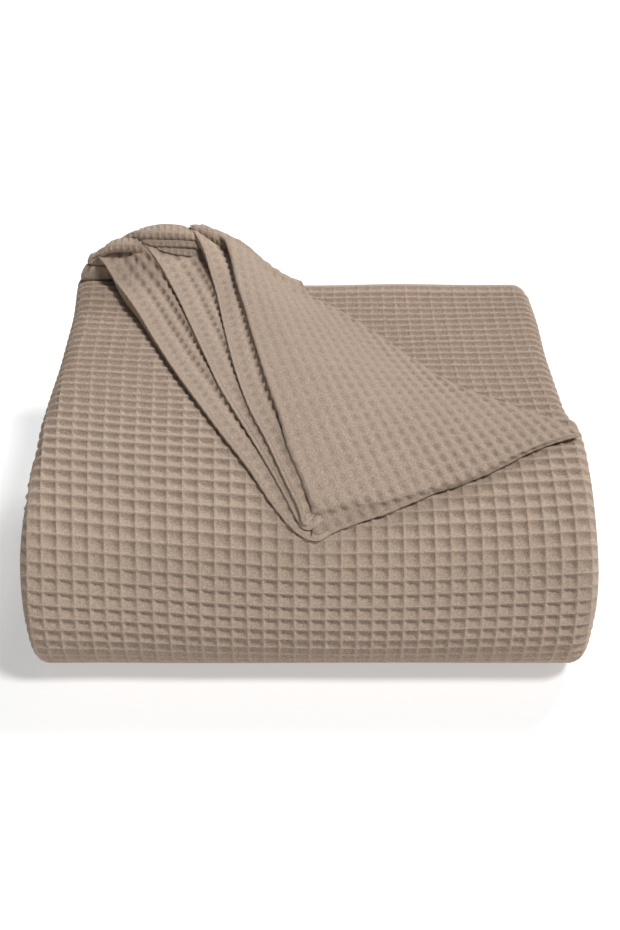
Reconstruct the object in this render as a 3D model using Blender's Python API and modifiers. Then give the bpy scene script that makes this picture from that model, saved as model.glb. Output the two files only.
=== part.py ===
# Waffle weave cotton blanket, folded into a pad, with its top end drawn forward over the pad
# as a flap whose left side is gathered into a fan of pleats.
#
# One rectangular sheet of cloth makes all of it:
#   - both long sides are folded to the middle twice, which gives a strip four plies thick with
#     a rounded fold along its left and its right side;
#   - the strip is folded back and forth in six passes. Its last turn goes round all the others
#     at the front, as one big soft roll from the floor to the top;
#   - the outer ply is longer than the others. At the back it stands up as a low hood, comes
#     forward over the top as the flap, and ends in a small roll tucked under its front edge.
#     Three pleats on its left run together at a tip on the front.
#
# Units are metres, +Z is up, -Y is the front. The origin is on the floor under the middle.
import math

import bpy
import bmesh
from mathutils import Vector

MM = 0.001

# ---------------------------------------------------------------- driving sizes, in millimetres
CLOTH = 2.2            # thickness of the waffle cloth
PLY = 6.4              # from one ply of the strip to the next
PASS = 26.56           # from one pass of the strip to the next, at the back
PASS_FRONT = 24.2      # and at the front, where the passes are pressed together
SHIFT_X = 0.32         # moves the pad so that its middle is over the origin
SHIFT_Y = -153.45

COVER = 1.5 * PLY      # the outer ply's distance from the middle of the strip
SKIN = COVER + CLOTH / 2
BASE_SPANS = 8         # spans across the outer ply
FINE = 4               # spans of the hood for each span of the outer ply

# The outer face from the floor up round the front and along the top: the distance along the
# cloth, and the direction that it runs in (180 forward along the floor, 90 up, 0 back).
FRONT = [  # (along, direction)
    (0, 180), (15, 176), (30, 166), (45, 150), (60, 131), (80, 113), (100, 96), (120, 80),
    (140, 65), (160, 51.5), (180, 39.5), (200, 29), (220, 20), (240, 13), (270, 4.5),
    (300, 0), (340, -0.5), (470, -0.5),
]
BACK_ALONG = 453.0     # where the top ply reaches the back edge
FRONT_ROWS = [0, 18, 36, 54, 72, 90, 108, 126, 144, 162, 180, 200, 225, 255, 300, 345, 390, 425, BACK_ALONG]

# Half width of the pad, left and right of the middle, along the outer face.
SIDES = [  # (along, left, right)
    (0, 182, 181), (60, 184, 183), (95, 184.4, 183.4), (120, 184.8, 184), (150, 185, 184.4),
    (180, 184.4, 183.8), (200, 183.6, 183), (220, 182, 182), (240, 180.4, 181.3), (258, 180.4, 180),
    (275, 179.6, 173.5), (300, 178.7, 171.3), (350, 176.8, 169.8), (420, 178, 168.8), (470, 178.8, 168.6),
]

# The four inner passes, from the inner end of the strip down to the floor: the height number
# counted from the bottom pass, the half widths, and the sideways shift of the pass.
INNER = [  # (pass, left, right, dip at mid length)
    (4, 172, 168, 0.7),
    (3, 177, 174, -0.5),
    (2, 174, 177, 0.6),
    (1, 178, 172, -0.7),
]
END_BACK = 292.0       # the strip's inner end, a cut end inside the back of pass 4
TURN_FRONT_UP = 75.0   # middle of the front turn between passes 4 and 3
TURN_FRONT_LOW = 56.0  # middle of the front turn between passes 2 and 1
TURN_BACK_UP = 275.0   # middle of the back turn between passes 3 and 2
TURN_BACK_LOW = 276.5  # middle of the back turn between passes 1 and 0

# The fan and the flap lie on the outer face: x across, s along the face as in FRONT, and h
# above it. Each edge is a fold that starts at the tip on the front and runs to the back left.
EDGE_1 = [  # (s, x, h)
    (168, -6, 5), (184, -22, 7), (208, -39, 9), (238, -60, 11), (268, -78, 13), (299, -93, 14),
    (339, -110, 16), (385, -128, 17.5), (436, -148, 19),
]
EDGE_2 = [
    (172, -6, 11), (186, -14, 13), (202, -24, 15), (223, -37, 18), (244, -49, 20.5),
    (265, -60, 22.5), (300, -72, 25), (349, -87, 28), (395, -102, 30.5), (436, -117, 32.5),
]
EDGE_3 = [
    (175, -5, 17), (196, -16, 20.5), (219, -28, 23.5), (240, -39, 26), (268, -49, 28.8),
    (318, -59, 32.5), (367, -66, 35.5), (399, -72, 37.5), (436, -81, 39.5),
]
EDGE_4 = [
    (180, 0, 23), (196, -6, 26), (214, -14, 29), (231, -20, 32), (258, -29, 35), (306, -40, 39),
    (335, -45, 41.5), (369, -52, 44), (410, -60, 46.2), (436, -66, 47.5),
]
FAR_EDGE = [  # the flap's far edge: (share of the way back, x, s, h)
    (0, 173, 242, 6.0), (0.1, 165, 253, 5.2), (0.25, 132, 273, 4.4), (0.4, 100, 296, 4.0),
    (0.55, 74, 330, 4.0), (0.7, 48, 371, 4.0), (0.85, 22, 409, 4.0), (1, -1, 436, 4.0),
]
FRONT_ROLL = [  # the roll along the flap's front: (x, s of its middle, height of its top)
    (0, 178, 24.6), (28, 184, 19), (50, 188, 14.5), (70, 198, 11.5), (88, 203, 9.5),
    (107, 208, 8), (124, 218, 7), (146, 232, 6.4), (163, 239, 6.2), (173, 242, 6),
]
ROLL_FOOT = 1.9        # height of the roll's underside
TUCK = (16.0, 5.0)     # how far the roll's end is tucked back under, at the tip and far right
HOOD_RIM = [  # the hood's top line at the back: (x, h)
    (-165, 24), (-154, 32), (-142, 39), (-132, 45), (-123, 49), (-109, 50.5), (-92, 48.5),
    (-76, 48.5), (-67, 47), (-60, 44), (-43, 32), (-26, 17), (-15, 9), (-7, 5),
]
HOOD_LIP = [  # the hood's front lip over the pleats: (x, s)
    (-165, 430), (-130, 422), (-100, 425), (-86, 433), (-72, 441),
]
LIP_HEIGHT = 0.93      # its height, as a share of the rim's
HOOD_ROWS = [  # the rest of the hood, top to foot: (s, share of the rim's height, least height)
    (446, 1.0, 5), (451, 1.0, 4.6), (457, 0.82, 4.2), (460, 0.42, 3.0),
]
FAN_ROWS = [0, 0.07, 0.15, 0.25, 0.37, 0.52, 0.68, 0.84, 1.0]
FALL = [  # how much of the flap's left height is left, across to its far edge: (share, height)
    (0, 1.0), (0.167, 0.985), (0.333, 0.83), (0.5, 0.58), (0.667, 0.32), (0.833, 0.12), (1, 0.0),
]
TIP_DEPTH = 3.5        # how deep each pleat goes in under the next fold at the tip
REACH = [0.55, 0.40, 0.27, 0.09]  # and farther back, as a share of the way across the flap:
                                  # the free end under the first fold, then pleats 1, 2 and 3
REACH_ROWS = (0.07, 0.3)   # where the pleats start to deepen, and where they are at full depth
EDGE_4_COLUMN = 10     # the hood column that continues the flap's left edge


# ---------------------------------------------------------------- small helpers
def table(rows, key, column):
    """Reads one column of a table at a value of its first column, straight between rows."""
    if key <= rows[0][0]:
        return rows[0][column]
    for a, b in zip(rows, rows[1:]):
        if key <= b[0]:
            w = (key - a[0]) / (b[0] - a[0])
            return a[column] + w * (b[column] - a[column])
    return rows[-1][column]


def lay_out_front(step=0.5):
    """Walks along the outer face and keeps (along, y, z, direction) every half millimetre."""
    walk, y, z, s = [], 0.0, 0.0, 0.0
    while s <= FRONT[-1][0]:
        walk.append([s, y, z, math.radians(table(FRONT, s, 1))])
        middle = math.radians(table(FRONT, s + step / 2, 1))
        y, z, s = y + step * math.cos(middle), z + step * math.sin(middle), s + step
    nearest = min(p[1] for p in walk)
    return [(p[0], p[1] - nearest, p[2], p[3]) for p in walk]


WALK = lay_out_front()
TOP_Z = table(WALK, 400, 2)


def on_face(x, s, h):
    """The point h above the outer face, s along it and x across."""
    y, z, a = (table(WALK, s, c) for c in (1, 2, 3))
    return Vector((x + SHIFT_X, y - h * math.sin(a) + SHIFT_Y, z + h * math.cos(a))) * MM


# ---------------------------------------------------------------- the strip's cross-section
def half_section(half_width, side):
    """From the hem at the middle out to the outer ply's edge, as (x, height above the strip's
    middle) with side -1 for left and 1 for right."""
    points = [(7.0, PLY / 2)]
    fold = half_width - SKIN + 1.5
    for a in (90, 30, -30, -90):
        points.append((fold + PLY / 2 * math.cos(math.radians(a)), PLY / 2 * math.sin(math.radians(a))))
    for a in (90, 150, 210, 270):
        points.append((8.0 + PLY / 2 * math.cos(math.radians(a)), -PLY + PLY / 2 * math.sin(math.radians(a))))
    for a in (-90, -45, 0, 45, 90):
        points.append((half_width - SKIN + COVER * math.cos(math.radians(a)), COVER * math.sin(math.radians(a))))
    return [(side * x, d) for x, d in points]


def section(left, right):
    """The whole cross-section, hem to hem, and the numbers of its first and last outer-ply
    points."""
    a, b = half_section(left, -1), half_section(right, 1)
    x0, x1 = a[-1][0], b[-1][0]
    outer = [(x0 + (x1 - x0) * i / BASE_SPANS, COVER) for i in range(1, BASE_SPANS)]
    return a + outer + b[::-1], len(a) - 1, len(a) - 1 + BASE_SPANS


# ---------------------------------------------------------------- the strip's path, back to front
def pass_z(number, toward):
    """Height of a pass at its front end (-1), its middle (0) or its back end (1)."""
    return SKIN + number * {-1: PASS_FRONT, 0: (PASS_FRONT + PASS) / 2, 1: PASS}[toward]


def turn(middle_y, upper, lower, toward):
    """Rows round a half turn, from the upper pass down to the lower one. toward is -1 for a
    turn at the front and 1 at the back."""
    middle_z = (pass_z(upper, toward) + pass_z(lower, toward)) / 2
    radius = (pass_z(upper, toward) - pass_z(lower, toward)) / 2
    rows = []
    for a in (45, 90, 135):
        a = math.radians(a)
        y, z = middle_y + toward * radius * math.sin(a), middle_z + radius * math.cos(a)
        # the outer side of the strip is inside a front turn and outside a back turn
        normal = (math.sin(a), toward * math.cos(a))
        rows.append((y, z, normal))
    return rows


def path_rows():
    """Every row of the strip as (y, z, normal, left, right)."""
    w = {n: (left, right, dip) for n, left, right, dip in INNER}
    rows = []

    def run(n, ya, yb, up):
        left, right, dip = w[n]
        for share, toward in ((0, -up), (0.5, 0), (1, up)):
            y = ya + (yb - ya) * share
            z = pass_z(n, toward) + (dip if share == 0.5 else 0)
            rows.append((y, z, (0, up), left + dip * (1 - 2 * share), right - dip * (1 - 2 * share)))

    def bend(middle_y, upper, lower, toward, a, b):
        for i, (y, z, normal) in enumerate(turn(middle_y, upper, lower, toward)):
            k = (i + 1) / 4
            rows.append((y, z, normal, w[a][0] * (1 - k) + b[0] * k, w[a][1] * (1 - k) + b[1] * k))

    run(4, END_BACK, TURN_FRONT_UP, -1)
    bend(TURN_FRONT_UP, 4, 3, -1, 4, w[3])
    run(3, TURN_FRONT_UP, TURN_BACK_UP, 1)
    bend(TURN_BACK_UP, 3, 2, 1, 3, w[2])
    run(2, TURN_BACK_UP, TURN_FRONT_LOW, -1)
    bend(TURN_FRONT_LOW, 2, 1, -1, 2, w[1])
    run(1, TURN_FRONT_LOW, TURN_BACK_LOW, 1)
    bottom = (SIDES[0][1], SIDES[0][2])
    bend(TURN_BACK_LOW, 1, 0, 1, 1, bottom)
    rows.append((TURN_BACK_LOW, pass_z(0, 1), (0, -1), bottom[0], bottom[1]))
    rows.append((170.0, pass_z(0, 0), (0, -1), bottom[0] + 1, bottom[1] + 1))
    for s in FRONT_ROWS:
        y, z, a = (table(WALK, s, c) for c in (1, 2, 3))
        normal = (-math.sin(a), math.cos(a))
        rows.append((y - SKIN * normal[0], z - SKIN * normal[1], normal,
                     table(SIDES, s, 1), table(SIDES, s, 2)))
    return rows


# ---------------------------------------------------------------- the fan and the flap
def edge_at(edge, share):
    """(x, s, h) and the direction to the right of a fan edge, a share of the way back."""
    s = edge[0][0] + (edge[-1][0] - edge[0][0]) * share
    x, h = table(edge, s, 1), table(edge, s, 2)
    ahead, behind = s + 6, s - 6
    dx, ds = table(edge, ahead, 1) - table(edge, behind, 1), min(ahead, edge[-1][0]) - max(behind, edge[0][0])
    size = math.hypot(dx, ds) or 1.0
    return x, s, h, (ds / size, -dx / size)


def fold_points(x, s, h, out, radius, angles):
    """Points round a small fold, in the plane of out and of the height."""
    return [
        (x + out[0] * radius * math.cos(math.radians(a)),
         s + out[1] * radius * math.cos(math.radians(a)),
         h + radius * math.sin(math.radians(a)))
        for a in angles
    ]


def fan_row(share):
    """One row across the pleats, from the hidden inner end under the first fold to the top of
    the fourth, which is the flap's left edge."""
    edges = [edge_at(e, share) for e in (EDGE_1, EDGE_2, EDGE_3, EDGE_4)]
    heights = [e[2] for e in edges]
    radii = [(heights[k + 1] - heights[k]) / 4 for k in range(3)]
    radii.append(radii[2])
    far_x, far_s = table(FAR_EDGE, share, 1), table(FAR_EDGE, share, 2)
    left_x, left_s = edges[3][0], edges[3][1]
    span = math.hypot(far_x - left_x, far_s - left_s)
    across = ((far_x - left_x) / span, (far_s - left_s) / span)
    deep = min(1.0, max(0.0, share - REACH_ROWS[0]) / (REACH_ROWS[1] - REACH_ROWS[0]))

    def inner_fold(k, edge):
        """Middle of a hidden fold, and the direction that it points in."""
        x, s, h, out = edge
        tip = (x + out[0] * TIP_DEPTH, s + out[1] * TIP_DEPTH)
        back = (left_x + (far_x - left_x) * REACH[k], left_s + (far_s - left_s) * REACH[k])
        way = tuple(a + (b - a) * deep for a, b in zip(out, across))
        size = math.hypot(*way)
        return (tip[0] + (back[0] - tip[0]) * deep, tip[1] + (back[1] - tip[1]) * deep,
                (way[0] / size, way[1] / size))

    points = []
    x, s, h, out = edges[0]
    end_x, end_s, _ = inner_fold(0, edges[0])
    points.append((end_x, end_s, h - radii[0]))
    for k in range(4):
        x, s, h, out = edges[k]
        r = radii[k]
        points += fold_points(x + out[0] * r, s + out[1] * r, h, out, r, (270, 210, 150, 90))
        if k < 3:
            nx, ns, nh, nout = edges[k + 1]
            low, high = h + r, nh - radii[k + 1]
            px, ps, way = inner_fold(k + 1, edges[k + 1])
            points += fold_points(px, ps, (low + high) / 2, way, (high - low) / 2, (-90, -30, 30, 90))
    return points


def flap_row(share, columns):
    """One row across the flap, from its left edge to its far edge, without the left edge."""
    x, s, h, out = edge_at(EDGE_4, share)
    r = (h - edge_at(EDGE_3, share)[2]) / 4
    left = (x + out[0] * r, s + out[1] * r, h + r)
    right = tuple(table(FAR_EDGE, share, c) for c in (1, 2, 3))
    foot_left, foot_right = (0.0, 178.0), (173.0, 242.0)
    points = []
    for i in range(1, columns + 1):
        u = i / columns
        px, ps = left[0] + (right[0] - left[0]) * u, left[1] + (right[1] - left[1]) * u
        ph = right[2] + (left[2] - right[2]) * table(FALL, u, 1)
        # near the front the flap bows toward its roll
        rx = foot_left[0] + (foot_right[0] - foot_left[0]) * u
        rs, rh = table(FRONT_ROLL, rx, 1), table(FRONT_ROLL, rx, 2)
        straight_s = foot_left[1] + (foot_right[1] - foot_left[1]) * u
        base_h = 6.0 + (24.6 - 6.0) * table(FALL, u, 1)
        k = (1 - share) ** 4
        points.append((px, ps + (rs - straight_s) * k, ph + (rh - base_h) * k))
    return points


def roll_rows(columns):
    """The small roll along the flap's front: top is the flap's own first row, then front, foot
    and the end tucked back under."""
    rows = []
    for step in ("shoulder", "front", "low", "foot", "tuck"):
        row = []
        for i in range(columns + 1):
            u = i / columns
            x = 173.0 * u
            s, top = table(FRONT_ROLL, x, 1), table(FRONT_ROLL, x, 2)
            r = (top - ROLL_FOOT) / 2
            middle = ROLL_FOOT + r
            if step == "tuck":
                row.append((x, s + TUCK[0] + (TUCK[1] - TUCK[0]) * u, ROLL_FOOT))
            else:
                a = math.radians({"shoulder": 135, "front": 180, "low": 225, "foot": 270}[step])
                row.append((x, s + r * math.cos(a), middle + r * math.sin(a)))
        rows.append(row)
    return rows


# ---------------------------------------------------------------- building the sheet
def build_sheet():
    """The whole cloth as one open surface."""
    bm = bmesh.new()

    def add(points):
        return [bm.verts.new(p) for p in points]

    def skin(a, b):
        for i in range(len(a) - 1):
            bm.faces.new((a[i], a[i + 1], b[i + 1], b[i]))

    # the folded strip
    grid, first, last = [], 0, 0
    for y, z, normal, left, right in path_rows():
        shape, first, last = section(left, right)
        grid.append(add(
            Vector((x + SHIFT_X, y + d * normal[0] + SHIFT_Y, z + d * normal[1])) * MM
            for x, d in shape
        ))
    for a, b in zip(grid[:-2], grid[1:-1]):
        skin(a, b)

    # the last row is divided more finely where the hood rises from it
    a, b = grid[-2], grid[-1]
    join = []
    for i in range(len(a) - 1):
        if first <= i < first + BASE_SPANS // 2:
            between = [bm.verts.new(b[i].co.lerp(b[i + 1].co, k / FINE)) for k in range(1, FINE)]
            bm.faces.new([a[i], a[i + 1], b[i + 1], *reversed(between), b[i]])
            join += [b[i], *between]
        else:
            bm.faces.new((a[i], a[i + 1], b[i + 1], b[i]))
    join.append(b[first + BASE_SPANS // 2])

    # the hood, from its front lip over the rim and down to the join
    columns = len(join) - 1
    across = [v.co.x / MM - SHIFT_X for v in join]
    flap_columns = columns - EDGE_4_COLUMN
    rows = []
    for share in FAN_ROWS:
        fan = add(on_face(*p) for p in fan_row(share))
        flap = [fan[-1], *add(on_face(*p) for p in flap_row(share, flap_columns))]
        rows.append((fan, flap))
    for (fan_a, flap_a), (fan_b, flap_b) in zip(rows, rows[1:]):
        skin(fan_a, fan_b)
        skin(flap_a, flap_b)
    # the hood: over the pleats it ends in a lip, and right of them it runs on into the flap
    lip = add(
        on_face(x, table(HOOD_LIP, x, 1), LIP_HEIGHT * table(HOOD_RIM, x, 1))
        for x in across[:EDGE_4_COLUMN]
    )
    hood = [lip + rows[-1][1]]
    for s, share, least in HOOD_ROWS:
        hood.append(add(
            on_face(x, s, max(least, share * table(HOOD_RIM, x, 1))) for x in across
        ))
    for i in range(EDGE_4_COLUMN, columns + 1):
        hood[1][i].co = (hood[0][i].co + hood[2][i].co) / 2
    for lower, upper in zip(hood, hood[1:]):
        skin(lower, upper)
    skin(hood[-1], join)

    # the roll along the flap's front
    previous = rows[0][1]
    for row in roll_rows(flap_columns):
        current = add(on_face(*p) for p in row)
        skin(current, previous)
        previous = current

    bmesh.ops.recalc_face_normals(bm, faces=bm.faces)
    mesh = bpy.data.meshes.new("blanket")
    bm.to_mesh(mesh)
    bm.free()
    return mesh


def cotton():
    material = bpy.data.materials.new("taupe_waffle_cotton")
    material.use_nodes = True
    shader = material.node_tree.nodes["Principled BSDF"]
    shader.inputs["Base Color"].default_value = (0.42, 0.33, 0.27, 1)
    shader.inputs["Roughness"].default_value = 0.92
    shader.inputs["Metallic"].default_value = 0.0
    return material


def main():
    for o in list(bpy.data.objects):
        bpy.data.objects.remove(o)
    place = bpy.data.collections.new("waffle_blanket")
    bpy.context.scene.collection.children.link(place)
    blanket = bpy.data.objects.new("blanket", build_sheet())
    blanket.data.materials.append(cotton())
    place.objects.link(blanket)
    thick = blanket.modifiers.new("cloth_thickness", "SOLIDIFY")
    thick.thickness = CLOTH * MM
    thick.offset = 0.0
    thick.use_even_offset = True
    thick.use_rim = True


main()
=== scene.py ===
import math

import bpy
import numpy as np
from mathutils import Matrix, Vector


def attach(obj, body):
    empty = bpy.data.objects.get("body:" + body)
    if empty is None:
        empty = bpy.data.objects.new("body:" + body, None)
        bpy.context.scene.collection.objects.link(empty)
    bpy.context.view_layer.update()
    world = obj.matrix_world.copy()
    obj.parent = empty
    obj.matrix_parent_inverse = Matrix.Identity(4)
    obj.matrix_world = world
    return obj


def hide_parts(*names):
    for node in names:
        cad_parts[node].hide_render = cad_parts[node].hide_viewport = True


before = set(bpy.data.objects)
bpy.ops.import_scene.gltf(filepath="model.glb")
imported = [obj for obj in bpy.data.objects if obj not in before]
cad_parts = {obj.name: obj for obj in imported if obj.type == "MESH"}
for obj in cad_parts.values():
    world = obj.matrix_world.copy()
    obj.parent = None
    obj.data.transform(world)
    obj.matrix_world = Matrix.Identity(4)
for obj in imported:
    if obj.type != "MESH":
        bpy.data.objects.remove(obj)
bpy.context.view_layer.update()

# ------------------------------------------------------------------ sizes, in millimetres
CLOTH = 2.2
PLY = 6.4
PASS, PASS_FRONT = 26.56, 24.2
COVER = 1.5 * PLY
SKIN = COVER + CLOTH / 2
SHIFT = np.array([0.32, -153.45, 0.0])
CELL = 10.0            # waffle cell across the pad
ROW = 9.0              # waffle cell along the pad
PIT = 3.4              # depth of a cell

FRONT = [  # the outer face: (along, direction)
    (0, 180), (15, 176), (30, 166), (45, 150), (60, 131), (80, 113), (100, 96), (120, 80),
    (140, 65), (160, 51.5), (180, 39.5), (200, 29), (220, 20), (240, 13), (270, 4.5),
    (300, 0), (340, -0.5), (480, -0.5),
]
BACK_ALONG = 453.0
SIDES = [  # (along, left, right)
    (0, 182, 181), (60, 184, 183), (95, 184.4, 183.4), (120, 184.8, 184), (150, 185, 184.4),
    (180, 184.4, 183.8), (200, 183.6, 183), (220, 182, 182), (240, 180.4, 181.3), (258, 180.4, 180),
    (275, 179.6, 173.5), (300, 178.7, 171.3), (350, 176.8, 169.8), (420, 178, 168.8), (440, 178.4, 168.4), (449, 178.6, 168.2), (457, 178.8, 165.8), (480, 179, 165.4),
]
PITCH = [  # the width of a cell left and right of the middle: (along, left, right)
    (0, 10.0, 9.9), (130, 10.0, 10.0), (250, 10.5, 9.6), (350, 11.0, 9.2), (480, 11.0, 9.1),
]


# ------------------------------------------------------------------ numbers
def curve(rows, key, column):
    """A smooth curve through one column of a table, read at many values of its first column."""
    r = np.asarray(rows, float)
    x, y = r[:, 0], r[:, column]
    step = np.diff(x)
    slope = np.diff(y) / step
    tangent = np.empty_like(y)
    tangent[0], tangent[-1] = slope[0], slope[-1]
    a, b = slope[:-1], slope[1:]
    same = a * b > 0
    w1, w2 = 2 * step[1:] + step[:-1], step[1:] + 2 * step[:-1]
    with np.errstate(divide="ignore", invalid="ignore"):
        tangent[1:-1] = np.where(same, (w1 + w2) / (w1 / a + w2 / b), 0.0)
    key = np.clip(np.asarray(key, float), x[0], x[-1])
    i = np.clip(np.searchsorted(x, key, side="right") - 1, 0, len(x) - 2)
    h = step[i]
    t = (key - x[i]) / h
    return (
        (2 * t**3 - 3 * t**2 + 1) * y[i] + (t**3 - 2 * t**2 + t) * h * tangent[i]
        + (-2 * t**3 + 3 * t**2) * y[i + 1] + (t**3 - t**2) * h * tangent[i + 1]
    )


def ease(t):
    t = np.clip(t, 0.0, 1.0)
    return t * t * (3 - 2 * t)


def walk_front(step=0.25):
    s = np.arange(0.0, FRONT[-1][0], step)
    middle = np.radians(np.interp(s + step / 2, *np.array(FRONT).T[:2]))
    y = np.concatenate([[0.0], np.cumsum(step * np.cos(middle))[:-1]])
    z = np.concatenate([[0.0], np.cumsum(step * np.sin(middle))[:-1]])
    return s, y - y.min(), z, np.radians(np.interp(s, *np.array(FRONT).T[:2]))


WALK = walk_front()


def face(s):
    """y, z and the outward normal of the outer face at s."""
    y, z, a = (np.interp(s, WALK[0], WALK[i]) for i in (1, 2, 3))
    return y, z, -np.sin(a), np.cos(a)


def on_face(x, s, h):
    """Points h above the outer face, in millimetres in the pad's frame. Past the start of the
    side folds they go down with them."""
    x, s, h = np.broadcast_arrays(np.asarray(x, float), np.asarray(s, float), np.asarray(h, float))
    side = np.where(x < 0, curve(SIDES, s, 1), curve(SIDES, s, 2)) - SKIN
    over = np.clip((np.abs(x) - side) / (SKIN + 4.0), 0.0, 1.0) * ((x > 0) & (s < 330))
    h = h - 0.75 * SKIN * (1 - np.sqrt(1 - 0.98 * over**2))
    beyond = np.minimum(s, 0.0)          # the floor side runs straight on
    y, z, ny, nz = face(s)
    return np.stack([x, y - beyond + h * ny, z + h * nz], axis=-1)


def ripple(a, b, size, seed):
    """Slow unevenness, from -1 to 1, the same on every run."""
    rng = np.random.default_rng(seed)
    total = np.zeros(np.broadcast(a, b).shape)
    for _ in range(7):
        angle, phase = rng.uniform(0, math.tau, 2)
        k = math.tau / (size * rng.uniform(0.6, 1.7))
        total += np.sin(k * (a * math.cos(angle) + b * math.sin(angle)) + phase)
    return total / 4.0


def cell_lines(low, high, fine=(0.0, 0.08, 0.3, 0.5, 0.7, 0.92)):
    """Sample places between two cell numbers, with a line on every ridge."""
    k = np.arange(math.floor(low), math.ceil(high) + 1)
    values = (k[:, None] + np.asarray(fine)[None, :]).ravel()
    values = values[(values > low + 0.03) & (values < high - 0.03)]
    return np.concatenate([[low], values, [high]])


def waffle(a, b, ridge=0.05, sharp=1.0):
    """Depth of the weave, 0 on the ridges and 1 in the middle of a cell."""
    ra = 0.5 - np.abs(a - np.floor(a) - 0.5)
    rb = 0.5 - np.abs(b - np.floor(b) - 0.5)
    return np.clip((np.minimum(ra, rb) - ridge) / (0.47 - ridge), 0.0, 1.0) ** sharp


def waffle_top(a, b, low):
    """Cells that fall gently from their near ridge to a steep wall at the far one, with the
    lengthwise ridges lower than the crosswise ones by a share low."""
    ra = 0.5 - np.abs(a - np.floor(a) - 0.5) + low * 0.25
    f = b - np.floor(b)
    g = np.minimum(f / 0.75, (1.0 - f) / 0.22)
    return np.clip(np.minimum((ra - 0.04) / 0.24, g), 0.0, 1.0)


def dimples(a, b, long=0.82):
    """The weave seen from its other side: round dimples between broad soft ridges."""
    d = np.hypot(a - np.floor(a) - 0.5, long * (b - np.floor(b) - 0.5))
    return ease(1.0 - d / 0.46)


def normals(p):
    """Unit normals of a grid of points, from its own differences."""
    u = np.gradient(p, axis=0)
    v = np.gradient(p, axis=1)
    n = np.cross(v, u)
    length = np.linalg.norm(n, axis=-1, keepdims=True)
    return n / np.maximum(length, 1e-9)


# ------------------------------------------------------------------ meshes
def make_mesh(name, verts, quads, uv, material, smooth=True):
    mesh = bpy.data.meshes.new(name)
    verts = (np.asarray(verts, float).reshape(-1, 3) + SHIFT) * 0.001
    quads = np.asarray(quads, dtype=np.int32).reshape(-1, 4)
    mesh.vertices.add(len(verts))
    mesh.vertices.foreach_set("co", verts.astype(np.float32).ravel())
    mesh.loops.add(quads.size)
    mesh.loops.foreach_set("vertex_index", quads.ravel())
    mesh.polygons.add(len(quads))
    mesh.polygons.foreach_set("loop_start", np.arange(0, quads.size, 4, dtype=np.int32))
    mesh.polygons.foreach_set("use_smooth", np.full(len(quads), smooth))
    layer = mesh.uv_layers.new(name="weave")
    layer.uv.foreach_set("vector", np.asarray(uv, float).reshape(-1, 2)[quads.ravel()].astype(np.float32).ravel())
    mesh.update(calc_edges=True)
    mesh.validate()
    mesh.materials.append(material)
    o = bpy.data.objects.new(name, mesh)
    bpy.context.scene.collection.objects.link(o)
    return o


def grid_quads(m, n, flip=False, keep=None):
    i = np.arange(m * n).reshape(m, n)
    q = np.stack([i[:-1, :-1], i[:-1, 1:], i[1:, 1:], i[1:, :-1]], axis=-1)
    if flip:
        q = q[..., ::-1]
    if keep is not None:
        return q[keep]
    return q.reshape(-1, 4)


def cloth(name, base, a, b, material, depth=PIT, flip=False, hems=(), keep=None, normal=None,
          toward=None, outward=None, weave=None, thick=CLOTH):
    """A grid of points becomes a waffle sheet: cells are pressed in from the base surface by
    depth, which may vary over the grid. hems lists the free sides, "first", "last", "left" and
    "right", whose edge is turned in by the thickness of the cloth. The outer side is the one that
    looks toward a direction, or away from a place (x, y) in plan."""
    n = normals(base) if normal is None else normal
    if outward is not None:
        away = base[..., :2] - np.array(outward, float)
        flip = float(np.sum(n[..., :2] * away)) < 0
    elif toward is not None:
        flip = float(np.mean(n @ np.array(toward, float))) < 0
    if flip:
        n = -n
    shape = base.shape[:2]
    a, b = np.broadcast_to(a, shape), np.broadcast_to(b, shape)
    pits = waffle(a, b) if weave is None else weave
    p = base - n * (np.broadcast_to(depth, shape) * pits)[..., None]
    uv = np.stack([a, b], axis=-1)
    for side in hems:
        if side in ("first", "last"):
            k, inner = (0, 1) if side == "first" else (-1, -2)
            edge, back, en, eu = p[k], base[inner], n[k], uv[k]
            rows = [edge - en * CLOTH * 0.5 + (base[k] - back) * 0.25, base[k] - en * CLOTH * 1.25,
                    base[inner] - en * CLOTH * 1.25 + (base[inner] - base[k]) * 2]
            if side == "first":
                p = np.concatenate([np.stack(rows[::-1]), p])
                n = np.concatenate([np.repeat(n[:1], 3, 0), n])
                base = np.concatenate([np.stack(rows[::-1]), base])
                uv = np.concatenate([np.repeat(uv[:1], 3, 0), uv])
            else:
                p = np.concatenate([p, np.stack(rows)])
                n = np.concatenate([n, np.repeat(n[-1:], 3, 0)])
                base = np.concatenate([base, np.stack(rows)])
                uv = np.concatenate([uv, np.repeat(uv[-1:], 3, 0)])
        else:
            k, inner = (0, 1) if side == "left" else (-1, -2)
            edge, back, en, eu = p[:, k], base[:, inner], n[:, k], uv[:, k]
            cols = [edge - en * thick * 0.5 + (base[:, k] - back) * 0.25, base[:, k] - en * thick * 1.25,
                    base[:, inner] - en * thick * 1.25 + (base[:, inner] - base[:, k]) * 2]
            if side == "left":
                cols = cols[::-1]
                p = np.concatenate([np.stack(cols, 1), p], 1)
                n = np.concatenate([np.repeat(n[:, :1], 3, 1), n], 1)
                base = np.concatenate([np.stack(cols, 1), base], 1)
                uv = np.concatenate([np.repeat(uv[:, :1], 3, 1), uv], 1)
            else:
                p = np.concatenate([p, np.stack(cols, 1)], 1)
                n = np.concatenate([n, np.repeat(n[:, -1:], 3, 1)], 1)
                base = np.concatenate([base, np.stack(cols, 1)], 1)
                uv = np.concatenate([uv, np.repeat(uv[:, -1:], 3, 1)], 1)
    m, k = p.shape[:2]
    o = make_mesh(name, p, grid_quads(m, k, flip=not flip, keep=keep), uv, material)
    return o


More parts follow.
